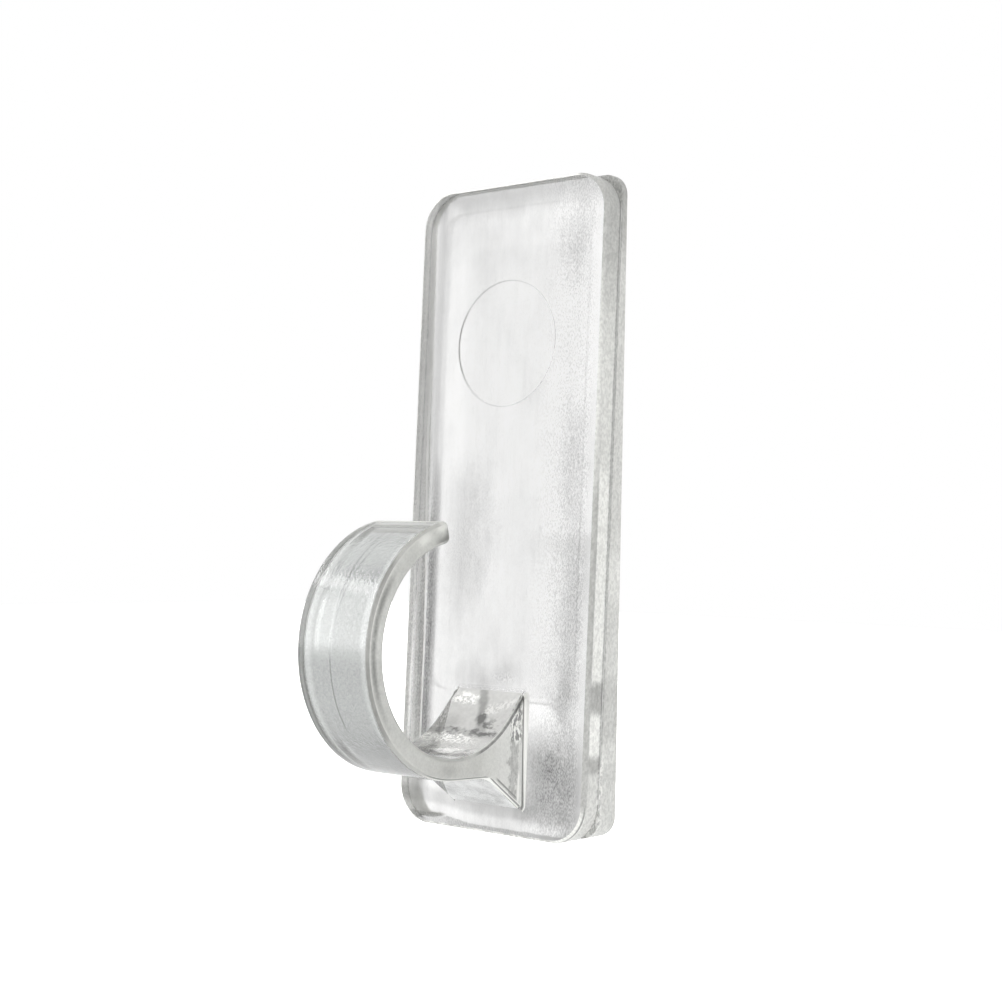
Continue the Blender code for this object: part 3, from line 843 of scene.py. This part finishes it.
# Hook body: front plate and C-shaped strip in one moulding
hook = {"width": 25 * mm, "height": 67.58 * mm, "corner": 4 * mm, "frontEdge": 0.4 * mm,
        "backEdge": 0.03 * mm, "stripWidth": 9.6 * mm, "stripThickness": 2.2 * mm, "inner": 10.497 * mm,
        "standoff": 10.4 * mm, "rise": 19 * mm, "tipAngle": 74, "tipCorner": 0.6 * mm, "stripEdge": 0.45 * mm,
        "rootAngle": 48, "flareReach": 5.3 * mm, "flareAngle": 33.5, "flareBlend": 4 * mm, "sink": 1 * mm,
        "fillet": 0.35 * mm, "filletFrom": 0.2, "thumbRadius": 6.6 * mm, "thumbDepth": 0.15 * mm,
        "thumbDrop": 16.9 * mm, "thumbTool": 4 * mm, "arcStep": 1.5, "tipStep": 15, "blendStep": 3}


def pastTip(centre, end, radius, past):
    # a point in y and z at a radius from the centre and a distance past the tip's angle
    return (centre[0] + radius * cos(end) + past * sin(end), centre[1] + radius * sin(end) - past * cos(end))


def hookStrip(face, bottom):
    bm = bmesh.new()
    centre = (face - hook["standoff"], bottom + hook["rise"])
    outer = hook["inner"] + hook["stripThickness"]
    sunk = face + hook["sink"]
    rootTurn = radians(270 + hook["rootAngle"])
    leave = (centre[0] + hook["inner"] * cos(rootTurn), centre[1] + hook["inner"] * sin(rootTurn))
    climb = (sunk - leave[0]) / -sin(rootTurn)
    tip = bm.verts.new((0, sunk, leave[1] + cos(rootTurn) * climb))
    tip = reach(bm, tip, leave)
    tip = swing(bm, tip, centre, -(90 + hook["rootAngle"] + hook["tipAngle"]), hook["arcStep"])
    end = radians(180 - hook["tipAngle"])
    # a squared tip with round corners
    half = hook["stripThickness"] / 2
    corner = hook["tipCorner"]
    tip = reach(bm, tip, pastTip(centre, end, hook["inner"], half - corner))
    tip = swing(bm, tip, pastTip(centre, end, hook["inner"] + corner, half - corner), 90, hook["tipStep"])
    tip = reach(bm, tip, pastTip(centre, end, outer - corner, half))
    tip = swing(bm, tip, pastTip(centre, end, outer - corner, half - corner), 90, hook["tipStep"])
    tip = reach(bm, tip, pastTip(centre, end, outer, 0))
    tip = swing(bm, tip, centre, 90 + hook["tipAngle"], hook["arcStep"])
    slope = radians(hook["flareAngle"])
    knee = face - hook["flareReach"]
    blendStart = knee - hook["flareBlend"] * tan(slope / 2)
    tip = reach(bm, tip, (blendStart, centre[1] - outer))
    tip = swing(bm, tip, (blendStart, centre[1] - outer - hook["flareBlend"]), -hook["flareAngle"],
                hook["blendStep"])
    tip = reach(bm, tip, (sunk, centre[1] - outer - (sunk - knee) * tan(slope)))
    bmesh.ops.contextual_create(bm, geom=bm.edges[:])
    bm.faces.ensure_lookup_table()
    bmesh.ops.remove_doubles(bm, verts=bm.verts[:], dist=tiny)
    bmesh.ops.translate(bm, vec=(-hook["stripWidth"] / 2, 0, 0), verts=bm.verts)
    pull(bm, bm.faces[:], (hook["stripWidth"], 0, 0))
    sides = edgesAt(bm, 0, -hook["stripWidth"] / 2) + edgesAt(bm, 0, hook["stripWidth"] / 2)
    roundOff(bm, sides, hook["stripEdge"], 5)
    return bm


hookFinishes = ("skin", "groove", "strip", "side", "edge", "ramp", "round", "seat")


def hookFinishAt(normal, spot, face, bottom):
    # the name of the finish for a face of the hook body, from its direction and its middle
    if spot.y > face - 10 * tiny:
        if nearRim(spot, bottom, -bottom, hook["corner"], hook["frontEdge"]) and abs(normal.y) < headOn:
            return "edge"
        return "groove" if spot.y > face + 0.5 * mm else "skin"
    if spot.y > face - hook["fillet"]:
        return "seat" if spot.x > hook["stripWidth"] / 2 - 0.1 * mm else "skin"
    if abs(normal.x) > headOn:
        return "side"
    across = spot.y - face + hook["standoff"]
    up = spot.z - bottom - hook["rise"]
    outside = (across ** 2 + up ** 2) ** 0.5 > hook["inner"] + hook["stripThickness"] / 2
    end = radians(180 - hook["tipAngle"])
    pastEnd = up > 0 and across * sin(end) - up * cos(end) > 0.02 * mm
    if normal.x > 0.3 or normal.x < -0.3 and outside or pastEnd:
        return "round"
    inward = spot.y > face - 0.9 * hook["standoff"] and normal.z > 0 and spot.z < bottom + hook["rise"]
    return "ramp" if inward else "strip"


def makeHookBody():
    topHere = hook["height"] / 2
    bottom = -topHere
    back = -slide["clearance"]
    face = -slide["face"]
    bm = panel(hook["width"], bottom, topHere, hook["corner"], back, face)
    roundOff(bm, edgesAt(bm, 1, face), hook["frontEdge"], 6)
    roundOff(bm, edgesAt(bm, 1, back), hook["backEdge"], 2)
    bm = combine(bm, "UNION", hookStrip(face, bottom))
    bmesh.ops.remove_doubles(bm, verts=bm.verts[:], dist=tiny)
    seat = [e for e in edgesAt(bm, 1, face) if not e.is_convex and e.calc_face_angle(0) > hook["filletFrom"]
            and all(abs(v.co.x) < hook["stripWidth"] for v in e.verts)]
    roundOff(bm, seat, hook["fillet"], 4)
    half = hook["width"] / 2 - slide["railFoot"] - slide["undercut"]
    groove = dovetail(half, slide["tongueHeight"] + slide["clearance"], bottom - slide["beyond"],
                      topHere - slide["topMargin"] + slide["clearance"],
                      slide["tongueCorner"] + slide["clearance"], slide["beyond"])
    bm = combine(bm, "DIFFERENCE", groove)
    thumb = bmesh.new()
    bmesh.ops.create_cone(thumb, cap_ends=True, segments=96, radius1=hook["thumbRadius"],
                          radius2=hook["thumbRadius"], depth=hook["thumbTool"])
    bmesh.ops.rotate(thumb, cent=(0, 0, 0), matrix=Matrix.Rotation(radians(90), 3, "X"), verts=thumb.verts)
    thumbPlace = (0, face + hook["thumbDepth"] - hook["thumbTool"] / 2, topHere - hook["thumbDrop"])
    bmesh.ops.translate(thumb, vec=thumbPlace, verts=thumb.verts)
    bm = combine(bm, "DIFFERENCE", thumb)
    bmesh.ops.remove_doubles(bm, verts=bm.verts[:], dist=tiny)
    for f in bm.faces:
        f.material_index = hookFinishes.index(hookFinishAt(f.normal, f.calc_center_median(), face, bottom))
    piece = finishPiece(bm, "hookBody", "hook", "hook_body", slidePlace)
    for finish in (clearSkin(), frosted("frosted_groove", 0.98, 0), hookSkin(), hookSide(), hookEdge(),
                   rootSkin(), hookRound(), rootSeat()):
        piece.data.materials.append(finish)
    print("hook body", len(piece.data.polygons), "faces")


# Base plate: the wedge that stays on the wall
base = {"step": 0.5 * mm, "corner": 2.2 * mm, "bare": 3.8 * mm, "bareTurns": (22.5, 45, 67.5),
        "edge": 0.3 * mm, "notchSide": 3.9 * mm, "notchHeight": 13 * mm, "notchCorner": 3 * mm,
        "notchMargin": 0.8 * mm, "notchBelow": 10 * mm, "notchBack": 2 * mm, "notchFront": -8 * mm}


def makeBasePlate():
    low = -top + base["step"]
    bm = panel(hook["width"], low, top, base["corner"], baseBack, baseBack - slide["topThickness"])
    front = [v for v in bm.verts if v.co.y < baseBack - tiny]
    shear = Matrix.Identity(4)
    shear[1][2] = tan(lean)
    shear[1][3] = -top * tan(lean)
    bmesh.ops.transform(bm, matrix=shear, verts=front)
    roundOff(bm, edgesAt(bm, 1, baseBack), base["edge"], 4)
    notchTop = low + base["notchHeight"]
    half = hook["width"] / 2 - slide["railFoot"] - slide["clearance"] - slide["undercut"]
    tongue = dovetail(half, slide["tongueHeight"], notchTop + base["notchMargin"], top - slide["topMargin"],
                      slide["tongueCorner"], slide["topThickness"] / 2)
    bmesh.ops.transform(tongue, matrix=slidePlace, verts=tongue.verts)
    bm = combine(bm, "UNION", tongue)
    notch = panel(hook["width"] - 2 * base["notchSide"], low - base["notchBelow"], notchTop,
                  base["notchCorner"], base["notchBack"], base["notchFront"])
    bm = combine(bm, "DIFFERENCE", notch)
    bmesh.ops.remove_doubles(bm, verts=bm.verts[:], dist=tiny)
    # the corners that the hook body's rounder ones leave bare look like the rim
    cornerX = hook["width"] / 2 - hook["corner"]
    cornerZ = hook["height"] / 2 - hook["corner"]
    for across, along in ((1, 1), (1, -1), (-1, 1), (-1, -1)):
        middle = Vector((across * cornerX, 0, along * cornerZ))
        for turn in base["bareTurns"]:
            out = Vector((across * cos(radians(turn)), 0, along * sin(radians(turn))))
            bmesh.ops.bisect_plane(bm, geom=bm.verts[:] + bm.edges[:] + bm.faces[:], dist=tiny,
                                   plane_co=middle + out * base["bare"], plane_no=out)
    for f in bm.faces:
        middle = f.calc_center_median()
        rim = nearRim(middle, low, top, base["corner"], base["edge"]) and abs(f.normal.y) < headOn
        f.material_index = 1 if rim or nearCorner(middle, base["bare"]) else 0
    piece = finishPiece(bm, "basePlate", "base", "base_plate", Matrix.Identity(4))
    for finish in (frosted("frosted_base", 0.915, 1), baseEdge()):
        piece.data.materials.append(finish)
    print("base plate", len(piece.data.polygons), "faces")


def dressStrip():
    finishes = {"strip_core": ("film", 0.97, 0.3, 1.05), "base_adhesive": ("gum_base", 0.97, 0.3, 1.04),
                "wall_adhesive": ("gum_wall", 0.97, 0.3, 1.04), "release_liner": ("liner", 0.96, 0.4, 1.1)}
    for name, (finish, tone, rough, ior) in finishes.items():
        node = frame["nodes"][name]
        node.data.materials.clear()
        node.data.materials.append(sheetFinish(finish, tone, rough, ior))
    print("strip dressed")


makeCamera()
makeStudio()
makeFloor()
makeHookBody()
makeBasePlate()
dressStrip()
